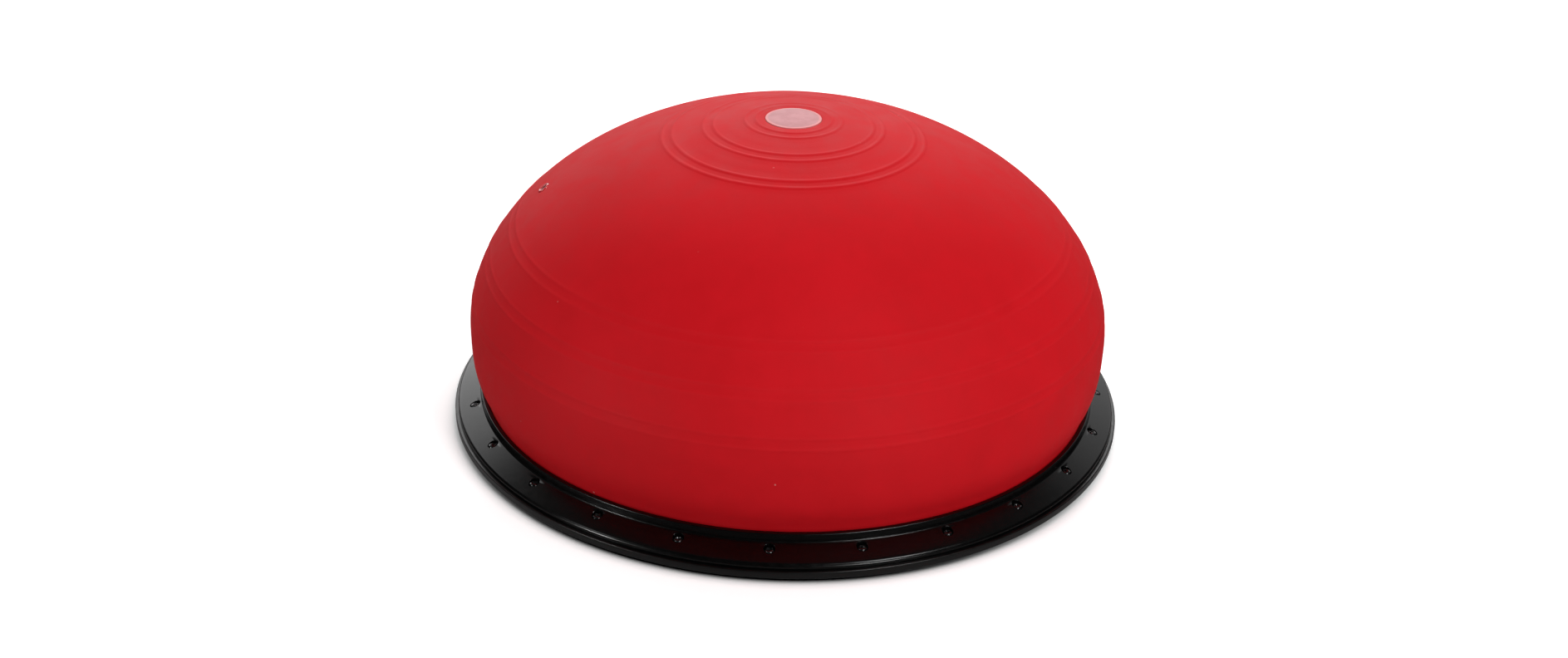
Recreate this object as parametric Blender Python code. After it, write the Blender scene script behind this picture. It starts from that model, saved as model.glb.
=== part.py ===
"""A trampoline balance ball: an air-filled rubber half ball held down on a round plastic base.

The half ball is one moulded membrane. Its thick foot sits in a groove of the base plate, and a
clamp ring with an upright collar holds the foot down, drawn tight by a circle of screws.
Metres, +Z up. The origin is on the floor, below the middle of the ball.
"""

import math

import bmesh
import bpy
import numpy as np
from mathutils import Matrix, Vector

MM = 0.001

# Outline of the inflated ball: widest at the bulge, flat on the crown, drawn in above the foot
BALL_TOP = 234.9 * MM
BULGE_RADIUS = 244.6 * MM
BULGE_HEIGHT = 75.0 * MM
CROWN_POWER = 1.906
UNDERSIDE_BELOW_FLOOR = 10.3 * MM
UNDERSIDE_POWER = 3.53
NECK_CURVE_ABOVE_LIP = 7.9 * MM
NECK_CURVE_BELOW_LIP = 4.1 * MM
NECK_CURVE_RUN = 2.8 * MM
WALL = 3.5 * MM

# Raised rings moulded in pairs, their distances measured along the skin
CROWN_RIDGE_HEIGHT = 0.6 * MM
SHOULDER_RIDGE_HEIGHT = 0.4 * MM
RIDGE_HALF_WIDTH = 2.4 * MM
RIDGE_SPACING = 8.0 * MM
PAIRS_IN_A_GROUP = 3
CROWN_PAIRS_OUTSIDE_DISC = 4.5 * MM
CROWN_PAIR_PITCH = 31.6 * MM
SHOULDER_PAIRS_ABOVE_BULGE = 21.4 * MM
SHOULDER_PAIR_PITCH = 33.0 * MM

# Foot of the ball: a thick bead, wider than the wall, that the clamp ring presses down
FOOT_STANDS_OUT = 5.6 * MM
FOOT_HEIGHT = 6.4 * MM
FOOT_ROUND = 2.0 * MM
FOOT_FILLET = 1.2 * MM

# Base plate
RIM_BEYOND_SCREWS = 15.2 * MM
BASE_UNDERSIDE = 1.0 * MM
BASE_THICKNESS = 5.6 * MM
BASE_EDGE_ROUND = 0.7 * MM
FOOT_GROOVE_DEPTH = 2.1 * MM
RIB_WIDTH = 3.0 * MM
RIB_DEPTH = 3.0 * MM
RIBS = 12
RIB_RINGS = 3
HUB_RADIUS = 28.0 * MM
SOLID_RIM_INSIDE_FOOT = 7.9 * MM

# Clamp ring
RING_INSET = 2.6 * MM
RING_EDGE_HEIGHT = 1.5 * MM
RING_EDGE_ROUND = 3.0 * MM
COLLAR_THICKNESS = 4.0 * MM
COLLAR_HEIGHT = 7.1 * MM
COLLAR_ROOT_FILLET = 1.3 * MM
COLLAR_EDGE_ROUND = 0.8 * MM

# Screws
SCREWS = 24
SCREWS_OUTSIDE_FOOT = 3.8 * MM
FIRST_SCREW_ANGLE = math.radians(13.1)
SHANK_RADIUS = 2.0 * MM
POINT_LENGTH = 1.8 * MM
POINT_ABOVE_UNDERSIDE = 1.5 * MM
HEAD_RADIUS = 3.5 * MM
HEAD_HEIGHT = 2.5 * MM
HEAD_SIDE_HEIGHT = 1.0 * MM
HEAD_SHOULDER = 0.7 * MM
HEAD_CLEARANCE = 0.5 * MM
COUNTERBORE_DEPTH = 4.6 * MM
FLOOR_UNDER_HEAD = 0.9 * MM

# Non-slip ring in the underside of the base plate
GRIP_INSET = 3.0 * MM
GRIP_WIDTH = 6.5 * MM
GRIP_HEIGHT = 2.1 * MM
GRIP_ROUND = 0.5 * MM

# Disc set into the crown
DISC_RADIUS = 20.9 * MM
DISC_THICKNESS = 1.2 * MM
DISC_STANDS_OUT = 0.4 * MM
DISC_EDGE_ROUND = 0.6 * MM

# Inflation valve, above the raised rings of the shoulder
VALVE_ABOVE_RINGS = 31.5 * MM
VALVE_ANGLE = math.radians(181.0)
VALVE_RIM_RADIUS = 5.0 * MM
VALVE_RIM_HEIGHT = 0.9 * MM
VALVE_RIM_SIDE_HEIGHT = 0.3 * MM
VALVE_LIP_HEIGHT = 0.7 * MM
VALVE_RIM_SUNK = 0.8 * MM
VALVE_STEM_RADIUS = 3.4 * MM
VALVE_STEM_LENGTH = 12.8 * MM
VALVE_MOUTH_RADIUS = 2.2 * MM
VALVE_MOUTH_DEPTH = 3.0 * MM
VALVE_LIP = 0.7 * MM
NEEDLE_RADIUS = 0.8 * MM

# Gap left between pieces that touch
GAP = 0.3 * MM

# How far a cutter runs past the face that it opens
OVERRUN = 2.0 * MM

# Facets round each turned piece, half as many where the ball is narrow
RIM_FACETS = 60
CROWN_FACETS = RIM_FACETS // 2
VALVE_FACETS = 14
HOLE_FACETS = 10
SCREW_FACETS = 8

# Half the width of a raised pair, along the skin
PAIR_REACH = RIDGE_SPACING / 2 + RIDGE_HALF_WIDTH

# Heights that follow from the sizes above, from the floor up
BASE_TOP = BASE_UNDERSIDE + BASE_THICKNESS
RING_UNDERSIDE = BASE_TOP + GAP
FOOT_BOTTOM = BASE_TOP - FOOT_GROOVE_DEPTH + GAP
FOOT_TOP = FOOT_BOTTOM + FOOT_HEIGHT
COUNTERBORE_FLOOR = FOOT_TOP + GAP + FLOOR_UNDER_HEAD
COLLAR_ROOT = COUNTERBORE_FLOOR + COUNTERBORE_DEPTH
COLLAR_TOP = COLLAR_ROOT + COLLAR_HEIGHT
NECK_TOP_HEIGHT = COLLAR_TOP - NECK_CURVE_BELOW_LIP
UNDERSIDE_END_HEIGHT = COLLAR_TOP + NECK_CURVE_ABOVE_LIP
SHANK_LENGTH = COUNTERBORE_FLOOR + GAP - BASE_UNDERSIDE - POINT_ABOVE_UNDERSIDE

# Radii that follow from the sizes above: the neck from the underside's superellipse, then out
UNDERSIDE_DEPTH = BULGE_HEIGHT + UNDERSIDE_BELOW_FLOOR
UNDERSIDE_END_SHARE = (BULGE_HEIGHT - UNDERSIDE_END_HEIGHT) / UNDERSIDE_DEPTH
UNDERSIDE_END_RADIUS = BULGE_RADIUS * (1 - UNDERSIDE_END_SHARE**UNDERSIDE_POWER) ** (
    1 / UNDERSIDE_POWER
)
NECK_RADIUS = UNDERSIDE_END_RADIUS - NECK_CURVE_RUN
FOOT_INNER_RADIUS = NECK_RADIUS - WALL
FOOT_OUTER_RADIUS = NECK_RADIUS + FOOT_STANDS_OUT
COLLAR_INNER_RADIUS = NECK_RADIUS + GAP
COLLAR_OUTER_RADIUS = COLLAR_INNER_RADIUS + COLLAR_THICKNESS
SCREW_CIRCLE_RADIUS = FOOT_OUTER_RADIUS + SCREWS_OUTSIDE_FOOT
COUNTERBORE_RADIUS = HEAD_RADIUS + HEAD_CLEARANCE
BASE_RADIUS = SCREW_CIRCLE_RADIUS + RIM_BEYOND_SCREWS
RING_RADIUS = BASE_RADIUS - RING_INSET
GRIP_OUTER_RADIUS = BASE_RADIUS - GRIP_INSET
GRIP_INNER_RADIUS = GRIP_OUTER_RADIUS - GRIP_WIDTH


def clear_scene():
    for found in list(bpy.data.objects):
        bpy.data.objects.remove(found, do_unlink=True)


def material(name, colour, roughness, metallic=0.0):
    made = bpy.data.materials.new(name)
    made.use_nodes = True
    shader = made.node_tree.nodes["Principled BSDF"]
    shader.inputs["Base Color"].default_value = (*colour, 1.0)
    shader.inputs["Roughness"].default_value = roughness
    shader.inputs["Metallic"].default_value = metallic
    return made


def row_of(bm, radius, height, facets):
    """A circle of vertices round the Z axis, or one vertex where the radius is nothing."""
    if radius < 1e-9:
        return [bm.verts.new((0.0, 0.0, height))]
    turns = [2 * math.pi * k / facets for k in range(facets)]
    return [bm.verts.new((radius * math.cos(a), radius * math.sin(a), height)) for a in turns]


def skin(bm, first, second):
    """Faces between two circles whose counts are alike, or one twice the other, or one a point."""
    few, many = sorted((first, second), key=len)
    n = len(many)
    if len(few) == 1:
        for k in range(n):
            bm.faces.new((few[0], many[k], many[(k + 1) % n]))
    elif len(few) == n:
        for k in range(n):
            after = (k + 1) % n
            bm.faces.new((few[k], few[after], many[after], many[k]))
    else:
        for k, corner in enumerate(few):
            beyond = few[(k + 1) % len(few)]
            left, middle, right = many[2 * k], many[2 * k + 1], many[(2 * k + 2) % n]
            bm.faces.new((corner, middle, left))
            bm.faces.new((corner, beyond, middle))
            bm.faces.new((beyond, right, middle))


def turned_mesh(name, outline, facets):
    """A solid of revolution. The outline is (radius, height) or (radius, height, facets) points.

    It closes on itself, or starts and ends on the Z axis.
    """
    bm = bmesh.new()
    rows = [row_of(bm, p[0], p[1], p[2] if len(p) > 2 else facets) for p in outline]
    for first, second in zip(rows, rows[1:]):
        skin(bm, first, second)
    if len(rows[0]) > 1:
        skin(bm, rows[-1], rows[0])
    return finished_mesh(bm, name)


def finished_mesh(bm, name):
    bmesh.ops.recalc_face_normals(bm, faces=bm.faces)
    mesh = bpy.data.meshes.new(name)
    bm.to_mesh(mesh)
    bm.free()
    mesh.shade_smooth()
    mesh.set_sharp_from_angle(angle=math.radians(35))
    return mesh


def place(name, mesh, finish=None):
    made = bpy.data.objects.new(name, mesh)
    bpy.context.scene.collection.objects.link(made)
    if finish and not mesh.materials:
        mesh.materials.append(finish)
    return made


def cut(body, cutter):
    """Cuts the cutter out of the body and keeps it as a wire guide."""
    cutter.hide_render = True
    cutter.display_type = "WIRE"
    boolean = body.modifiers.new(cutter.name, "BOOLEAN")
    boolean.operation = "DIFFERENCE"
    boolean.solver = "EXACT"
    boolean.object = cutter


def arc(centre, radius, start, end, steps):
    """Points on an arc in the (radius, height) plane, from one angle to another in degrees."""
    angles = [math.radians(start + (end - start) * k / steps) for k in range(steps + 1)]
    return [(centre[0] + radius * math.cos(a), centre[1] + radius * math.sin(a)) for a in angles]


def crown_height(radius):
    """Height of the ball's skin over a radius: a superellipse from the bulge to the top."""
    share = 1 - (radius / BULGE_RADIUS) ** CROWN_POWER
    return BULGE_HEIGHT + (BALL_TOP - BULGE_HEIGHT) * share ** (1 / CROWN_POWER)


def underside_radius(height):
    """Radius of the ball's skin below the bulge, on a second superellipse."""
    share = 1 - ((BULGE_HEIGHT - height) / UNDERSIDE_DEPTH) ** UNDERSIDE_POWER
    return BULGE_RADIUS * share ** (1 / UNDERSIDE_POWER)


def neck_radius(height):
    """Radius where the skin straightens into the neck: upright at the neck, then a power curve.

    Its power makes it leave the underside with the underside's own slope.
    """
    step = 0.01 * MM
    slope = (underside_radius(UNDERSIDE_END_HEIGHT + step) - UNDERSIDE_END_RADIUS) / step
    rise = UNDERSIDE_END_HEIGHT - NECK_TOP_HEIGHT
    power = slope * rise / NECK_CURVE_RUN
    share = max(0.0, height - NECK_TOP_HEIGHT) / rise
    return NECK_RADIUS + NECK_CURVE_RUN * share**power


def skin_samples():
    """Close-set points down the smooth skin, from the top of the crown to the top of the neck."""
    quarter = np.linspace(0, math.pi / 2, 600)
    crown = np.column_stack(
        (
            BULGE_RADIUS * np.sin(quarter) ** (2 / CROWN_POWER),
            BULGE_HEIGHT + (BALL_TOP - BULGE_HEIGHT) * np.cos(quarter) ** (2 / CROWN_POWER),
        )
    )
    low = np.linspace(BULGE_HEIGHT, UNDERSIDE_END_HEIGHT, 200)[1:]
    under = np.column_stack(([underside_radius(h) for h in low], low))
    lower = np.linspace(UNDERSIDE_END_HEIGHT, NECK_TOP_HEIGHT, 60)[1:]
    neck = np.column_stack(([neck_radius(h) for h in lower], lower))
    return np.vstack((crown, under, neck))


SKIN = skin_samples()
SKIN_LENGTHS = np.concatenate(([0], np.cumsum(np.hypot(*np.diff(SKIN, axis=0).T))))


def skin_point(length, out=0.0):
    """The (radius, height) point at a length down the skin, moved out along its normal."""
    step = 0.5 * MM
    here, before, after = (
        np.array([np.interp(at, SKIN_LENGTHS, SKIN[:, axis]) for axis in (0, 1)])
        for at in (length, length - step, length + step)
    )
    along = (after - before) / np.linalg.norm(after - before)
    return here + out * np.array((-along[1], along[0]))


def length_at_height(height):
    return float(np.interp(-height, -SKIN[:, 1], SKIN_LENGTHS))


def pair_middles():
    """Lengths down the skin to the middle of each raised pair: the crown's, then the shoulder's."""
    inmost = DISC_RADIUS + GAP + CROWN_PAIRS_OUTSIDE_DISC + PAIR_REACH
    crown = [inmost + k * CROWN_PAIR_PITCH for k in range(PAIRS_IN_A_GROUP)]
    lowest = length_at_height(BULGE_HEIGHT) - SHOULDER_PAIRS_ABOVE_BULGE
    shoulder = [lowest - k * SHOULDER_PAIR_PITCH for k in range(PAIRS_IN_A_GROUP)]
    return crown, shoulder[::-1]


def ridge_pair(middle, height):
    """Five points over two ridges: up, down to the skin between them, up again and down."""
    rises = (
        (-PAIR_REACH, 0.0),
        (-RIDGE_SPACING / 2, height),
        (0.0, 0.0),
        (RIDGE_SPACING / 2, height),
        (PAIR_REACH, 0.0),
    )
    return [skin_point(middle + offset, out) for offset, out in rises]


def outer_skin():
    """Outline of the ball's outside, from the seat of the crown disc down to the neck."""
    crown, shoulder = pair_middles()
    seat_radius = DISC_RADIUS + GAP
    seat_depth = DISC_THICKNESS - DISC_STANDS_OUT + GAP
    seat = [(r, crown_height(r) - seat_depth, CROWN_FACETS) for r in (0.0, seat_radius)]
    points = seat + [(seat_radius, crown_height(seat_radius), CROWN_FACETS)]
    for middle in crown:
        points += [(r, h, CROWN_FACETS) for r, h in ridge_pair(middle, CROWN_RIDGE_HEIGHT)]
    band = np.linspace(crown[-1] + PAIR_REACH, shoulder[0] - PAIR_REACH, 7)[1:-1]
    points += [tuple(skin_point(length)) for length in band]
    for middle in shoulder:
        points += [tuple(p) for p in ridge_pair(middle, SHOULDER_RIDGE_HEIGHT)]
    side_end = length_at_height(UNDERSIDE_END_HEIGHT)
    below = np.linspace(shoulder[-1] + PAIR_REACH, side_end, 6)[1:]
    points += [tuple(skin_point(length)) for length in below]
    points.append((neck_radius(COLLAR_TOP), COLLAR_TOP))
    points.append((NECK_RADIUS, NECK_TOP_HEIGHT))
    return points


def foot_outline():
    """The foot, from the neck out over its top, round its outer side and under to the inside."""
    top_corner = (FOOT_OUTER_RADIUS - FOOT_ROUND, FOOT_TOP - FOOT_ROUND)
    low_corner = (FOOT_OUTER_RADIUS - FOOT_ROUND, FOOT_BOTTOM + FOOT_ROUND)
    return [
        (NECK_RADIUS, FOOT_TOP + FOOT_FILLET),
        (NECK_RADIUS + FOOT_FILLET, FOOT_TOP),
        *arc(top_corner, FOOT_ROUND, 90, 0, 2),
        *arc(low_corner, FOOT_ROUND, 0, -90, 2),
        (FOOT_INNER_RADIUS, FOOT_BOTTOM),
        (FOOT_INNER_RADIUS, RING_UNDERSIDE),
    ]


def inner_skin():
    """Outline of the ball's inside, one wall behind the smooth skin, from the foot to the top."""
    start = length_at_height(NECK_TOP_HEIGHT + WALL)
    lengths = np.linspace(start, 0, 11)[:-1]
    points = [(*skin_point(length, -WALL), CROWN_FACETS) for length in lengths]
    return points + [(0.0, BALL_TOP - WALL, CROWN_FACETS)]


def valve_matrix():
    """Where the valve sits: on the skin, its own +Z pointing straight out of the ball."""
    shoulder = pair_middles()[1]
    length = shoulder[0] - VALVE_ABOVE_RINGS
    radius, height = skin_point(length)
    outwards = skin_point(length, 1.0) - np.array((radius, height))
    direction = Vector((outwards[0], 0.0, outwards[1]))
    tilt = Vector((0, 0, 1)).rotation_difference(direction).to_matrix().to_4x4()
    turn = Matrix.Rotation(VALVE_ANGLE, 4, "Z")
    return turn @ Matrix.Translation((radius, 0.0, height)) @ tilt


def build_ball(rubber):
    outline = outer_skin() + foot_outline() + inner_skin()
    ball = place("dome_membrane", turned_mesh("dome_membrane", outline, RIM_FACETS), rubber)
    hole = VALVE_STEM_RADIUS + GAP
    seat = VALVE_RIM_RADIUS + GAP
    seat_floor = -VALVE_RIM_SUNK - GAP
    bottom = -WALL - OVERRUN
    outline = [
        (0.0, bottom),
        (hole, bottom),
        (hole, seat_floor),
        (seat, seat_floor),
        (seat, OVERRUN),
        (0.0, OVERRUN),
    ]
    cutter = place("valve_hole_cutter", turned_mesh("valve_hole_cutter", outline, VALVE_FACETS))
    cutter.matrix_world = valve_matrix()
    cut(ball, cutter)


def build_crown_disc(rubber):
    """A thin disc that follows the curve of the crown, set into its seat."""
    edge = DISC_RADIUS - DISC_EDGE_ROUND
    bottom = DISC_STANDS_OUT - DISC_THICKNESS
    outline = [(r, crown_height(r) + bottom) for r in (0.0, DISC_RADIUS / 2, DISC_RADIUS)]
    outline.append((DISC_RADIUS, crown_height(DISC_RADIUS) + DISC_STANDS_OUT - DISC_EDGE_ROUND))
    outline += [(r, crown_height(r) + DISC_STANDS_OUT) for r in (edge, DISC_RADIUS / 2, 0.0)]
    place("crown_disc", turned_mesh("crown_disc", outline, CROWN_FACETS), rubber)


def build_valve(rubber):
    """A rubber valve for a pump needle: raised rim, funnel mouth and a stem through the wall."""
    rim_inner = VALVE_MOUTH_RADIUS + VALVE_LIP
    outline = [
        (0.0, -VALVE_MOUTH_DEPTH),
        (NEEDLE_RADIUS, -VALVE_MOUTH_DEPTH),
        (NEEDLE_RADIUS, -VALVE_MOUTH_DEPTH / 2),
        (VALVE_MOUTH_RADIUS, 0.0),
        (rim_inner, VALVE_LIP_HEIGHT),
        ((rim_inner + VALVE_RIM_RADIUS) / 2, VALVE_RIM_HEIGHT),
        (VALVE_RIM_RADIUS, VALVE_RIM_SIDE_HEIGHT),
        (VALVE_RIM_RADIUS, -VALVE_RIM_SUNK),
        (VALVE_STEM_RADIUS, -VALVE_RIM_SUNK),
        (VALVE_STEM_RADIUS, -VALVE_STEM_LENGTH + VALVE_STEM_RADIUS / 3),
        (VALVE_STEM_RADIUS * 2 / 3, -VALVE_STEM_LENGTH),
        (0.0, -VALVE_STEM_LENGTH),
    ]
    valve = place("inflation_valve", turned_mesh("inflation_valve", outline, VALVE_FACETS), rubber)
    valve.matrix_world = valve_matrix()


def sector_block(bm, inner, outer, middle, half_turn, low, high):
    """A block between two circles, its ends half a rib from the middle of the rib on each side."""
    steps = max(2, round(2 * half_turn / math.radians(10)))
    corners = []
    for radius, ways in ((inner, range(steps + 1)), (outer, range(steps, -1, -1))):
        reach = half_turn - math.asin(RIB_WIDTH / 2 / radius)
        for k in ways:
            angle = middle - reach + 2 * reach * k / steps
            corners.append((radius * math.cos(angle), radius * math.sin(angle)))
    bottom = [bm.verts.new((x, y, low)) for x, y in corners]
    top = [bm.verts.new((x, y, high)) for x, y in corners]
    bm.faces.new(bottom)
    bm.faces.new(top)
    for k in range(len(corners)):
        after = (k + 1) % len(corners)
        bm.faces.new((bottom[k], bottom[after], top[after], top[k]))


def rib_pockets():
    """The hollows between the ribs under the base, as one cutter."""
    bm = bmesh.new()
    half_turn = math.pi / RIBS
    rings = np.linspace(HUB_RADIUS, FOOT_INNER_RADIUS - SOLID_RIM_INSIDE_FOOT, RIB_RINGS + 1)
    for inner, outer in zip(rings, rings[1:]):
        for k in range(RIBS):
            edges = (inner + RIB_WIDTH / 2, outer - RIB_WIDTH / 2)
            middle = (2 * k + 1) * half_turn
            low = BASE_UNDERSIDE - OVERRUN
            sector_block(bm, *edges, middle, half_turn, low, BASE_UNDERSIDE + RIB_DEPTH)
    return place("rib_pocket_cutter", finished_mesh(bm, "rib_pocket_cutter"))


def screw_angles():
    return [FIRST_SCREW_ANGLE + 2 * math.pi * k / SCREWS for k in range(SCREWS)]


def hole_cutter(name, outline):
    """The same turned hole at every screw, as one cutter."""
    bm = bmesh.new()
    single = turned_mesh(name + "_one", outline, HOLE_FACETS)
    for angle in screw_angles():
        start = len(bm.verts)
        bm.from_mesh(single)
        bm.verts.ensure_lookup_table()
        at = Vector((SCREW_CIRCLE_RADIUS, 0, 0))
        move = Matrix.Rotation(angle, 4, "Z") @ Matrix.Translation(at)
        bmesh.ops.transform(bm, matrix=move, verts=bm.verts[start:])
    bpy.data.meshes.remove(single)
    return place(name, finished_mesh(bm, name))


def build_base_plate(plastic):
    """A round plate with a groove for the ball's foot, one for the grip ring, and ribs below."""
    groove_floor = BASE_TOP - FOOT_GROOVE_DEPTH
    grip_ceiling = GRIP_HEIGHT + GAP
    round_ = BASE_EDGE_ROUND
    outline = [
        (0.0, BASE_UNDERSIDE),
        (GRIP_INNER_RADIUS - GAP, BASE_UNDERSIDE),
        (GRIP_INNER_RADIUS - GAP, grip_ceiling),
        (GRIP_OUTER_RADIUS + GAP, grip_ceiling),
        (GRIP_OUTER_RADIUS + GAP, BASE_UNDERSIDE),
        (BASE_RADIUS - round_, BASE_UNDERSIDE),
        (BASE_RADIUS, BASE_UNDERSIDE + round_),
        (BASE_RADIUS, BASE_TOP - round_),
        (BASE_RADIUS - round_, BASE_TOP),
        (FOOT_OUTER_RADIUS + GAP, BASE_TOP),
        (FOOT_OUTER_RADIUS + GAP, groove_floor),
        (FOOT_INNER_RADIUS - GAP, groove_floor),
        (FOOT_INNER_RADIUS - GAP, BASE_TOP),
        (0.0, BASE_TOP),
    ]
    plate = place("base_plate", turned_mesh("base_plate", outline, RIM_FACETS), plastic)
    cut(plate, rib_pockets())
    hole = SHANK_RADIUS + GAP
    floor = BASE_UNDERSIDE + POINT_ABOVE_UNDERSIDE - GAP
    top = BASE_TOP + OVERRUN
    pilot = [(0.0, floor), (hole, floor), (hole, top), (0.0, top)]
    cut(plate, hole_cutter("pilot_hole_cutter", pilot))


def ring_slope():
    """Slope of the clamp ring's top face, in degrees: from its rounded edge up to the collar.

    The face leaves the round where the two meet without a corner, so the slope is found by
    stepping towards it.
    """
    slope = 0.0
    for _ in range(20):
        edge_radius = RING_RADIUS - RING_EDGE_ROUND * (1 - math.sin(slope))
        edge_height = RING_UNDERSIDE + RING_EDGE_HEIGHT + RING_EDGE_ROUND * math.cos(slope)
        run = edge_radius - COLLAR_OUTER_RADIUS - COLLAR_ROOT_FILLET
        slope = math.atan2(COLLAR_ROOT - edge_height, run)
    return math.degrees(slope)


def build_clamp_ring(plastic):
    """The ring that holds the ball's foot down: a sloping flange, and a collar round the neck."""
    edge = (RING_RADIUS - RING_EDGE_ROUND, RING_UNDERSIDE + RING_EDGE_HEIGHT)
    lip = COLLAR_TOP - COLLAR_EDGE_ROUND
    round_ = COLLAR_EDGE_ROUND
    lip_inner = neck_radius(lip) + GAP
    seat = FOOT_TOP + GAP
    outline = [
        (RING_RADIUS, RING_UNDERSIDE),
        *arc(edge, RING_EDGE_ROUND, 0, 90 - ring_slope(), 3),
        (COLLAR_OUTER_RADIUS + COLLAR_ROOT_FILLET, COLLAR_ROOT),
        (COLLAR_OUTER_RADIUS, COLLAR_ROOT + COLLAR_ROOT_FILLET),
        (COLLAR_OUTER_RADIUS, lip),
        (COLLAR_OUTER_RADIUS - round_, COLLAR_TOP - round_ / 3),
        (lip_inner + round_, COLLAR_TOP),
        (lip_inner, lip),
        (COLLAR_INNER_RADIUS, NECK_TOP_HEIGHT),
        (COLLAR_INNER_RADIUS, seat + FOOT_FILLET),
        (COLLAR_INNER_RADIUS + FOOT_FILLET, seat),
        (FOOT_OUTER_RADIUS + GAP - FOOT_ROUND / 2, seat),
        (FOOT_OUTER_RADIUS + GAP, seat - FOOT_ROUND / 2),
        (FOOT_OUTER_RADIUS + GAP, RING_UNDERSIDE),
    ]
    ring = place("clamp_ring", turned_mesh("clamp_ring", outline, RIM_FACETS), plastic)
    hole = SHANK_RADIUS + GAP
    below = RING_UNDERSIDE - OVERRUN
    bore = [
        (0.0, below),
        (hole, below),
        (hole, COUNTERBORE_FLOOR),
        (COUNTERBORE_RADIUS, COUNTERBORE_FLOOR),
        (COUNTERBORE_RADIUS, COLLAR_TOP),
        (0.0, COLLAR_TOP),
    ]
    cut(ring, hole_cutter("screw_hole_cutter", bore))


def build_screws(steel):
    """Pan head screws, one in each counterbore, that run down into the base plate."""
    outline = [
        (0.0, -SHANK_LENGTH),
        (SHANK_RADIUS, POINT_LENGTH - SHANK_LENGTH),
        (SHANK_RADIUS, 0.0),
        (HEAD_RADIUS, 0.0),
        (HEAD_RADIUS, HEAD_SIDE_HEIGHT),
        (HEAD_RADIUS - HEAD_SHOULDER, HEAD_HEIGHT),
        (0.0, HEAD_HEIGHT),
    ]
    mesh = turned_mesh("clamp_screw", outline, SCREW_FACETS)
    for k, angle in enumerate(screw_angles(), start=1):
        screw = place(f"clamp_screw_{k:02d}", mesh, steel)
        x = SCREW_CIRCLE_RADIUS * math.cos(angle)
        y = SCREW_CIRCLE_RADIUS * math.sin(angle)
        screw.location = (x, y, COUNTERBORE_FLOOR + GAP)
        screw.rotation_euler = (0.0, 0.0, angle)


def build_grip_ring(rubber):
    """The rubber ring that the whole ball stands on, held in a groove of the base plate."""
    outline = [
        (GRIP_INNER_RADIUS + GRIP_ROUND, 0.0),
        (GRIP_OUTER_RADIUS - GRIP_ROUND, 0.0),
        (GRIP_OUTER_RADIUS, GRIP_ROUND),
        (GRIP_OUTER_RADIUS, GRIP_HEIGHT),
        (GRIP_INNER_RADIUS, GRIP_HEIGHT),
        (GRIP_INNER_RADIUS, GRIP_ROUND),
    ]
    place("grip_ring", turned_mesh("grip_ring", outline, RIM_FACETS), rubber)


clear_scene()
build_ball(material("red_rubber", (0.55, 0.012, 0.018), 0.45))
build_crown_disc(material("pale_rubber", (0.62, 0.40, 0.41), 0.5))
build_valve(material("valve_rubber", (0.48, 0.02, 0.03), 0.4))
build_clamp_ring(material("black_plastic", (0.012, 0.012, 0.013), 0.25))
build_base_plate(material("base_plastic", (0.014, 0.014, 0.015), 0.3))
build_screws(material("black_steel", (0.03, 0.03, 0.032), 0.3, 1.0))
build_grip_ring(material("grip_rubber", (0.02, 0.02, 0.02), 0.85))
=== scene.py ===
import math

import bmesh
import bpy
import numpy as np
from mathutils import Matrix, Vector


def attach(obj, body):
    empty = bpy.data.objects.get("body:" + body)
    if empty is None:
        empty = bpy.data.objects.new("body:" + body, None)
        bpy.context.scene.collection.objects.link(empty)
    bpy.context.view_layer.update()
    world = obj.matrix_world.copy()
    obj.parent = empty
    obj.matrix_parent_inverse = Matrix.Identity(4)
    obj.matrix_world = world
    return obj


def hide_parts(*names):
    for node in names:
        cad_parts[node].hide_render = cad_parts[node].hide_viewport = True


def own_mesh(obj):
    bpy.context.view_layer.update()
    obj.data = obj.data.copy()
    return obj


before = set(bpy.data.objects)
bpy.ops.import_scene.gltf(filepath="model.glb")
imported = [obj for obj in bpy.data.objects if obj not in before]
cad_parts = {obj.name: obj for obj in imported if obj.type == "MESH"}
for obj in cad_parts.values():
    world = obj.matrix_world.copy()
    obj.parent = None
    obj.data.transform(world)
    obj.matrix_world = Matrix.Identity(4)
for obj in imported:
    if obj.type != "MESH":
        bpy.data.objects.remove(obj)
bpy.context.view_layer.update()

MM = 0.001

# The camera looks at the middle of the base from 29 degrees above the floor and leans slightly
# to one side. Its focal length and place were found from the spacing of the ring's screws.
PHOTO_WIDTH, PHOTO_HEIGHT = 1887, 792
FOCAL_LENGTH_PX = 2314.7
BASE_MIDDLE_PX = (945.5, 475.7)
SENSOR_WIDTH_MM = 36.0
CAMERA_PLACE = Vector((0.0, -1.34320, 0.74462))
CAMERA_LEAN = math.radians(1.632)

ahead = -CAMERA_PLACE.normalized()
right = Vector((1.0, 0.0, 0.0))
upward = right.cross(ahead)
lean_right = math.cos(CAMERA_LEAN) * right + math.sin(CAMERA_LEAN) * upward
lean_up = math.cos(CAMERA_LEAN) * upward - math.sin(CAMERA_LEAN) * right
camera_data = bpy.data.cameras.new("camera")
camera_data.sensor_fit = "HORIZONTAL"
camera_data.sensor_width = SENSOR_WIDTH_MM
camera_data.lens = FOCAL_LENGTH_PX / PHOTO_WIDTH * SENSOR_WIDTH_MM
camera_data.shift_x = (PHOTO_WIDTH / 2 - BASE_MIDDLE_PX[0]) / PHOTO_WIDTH
camera_data.shift_y = (BASE_MIDDLE_PX[1] - PHOTO_HEIGHT / 2) / PHOTO_WIDTH
camera = bpy.data.objects.new("camera", camera_data)
camera.matrix_world = Matrix.Translation(CAMERA_PLACE) @ Matrix(
    (lean_right, lean_up, -ahead)
).transposed().to_4x4()
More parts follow.
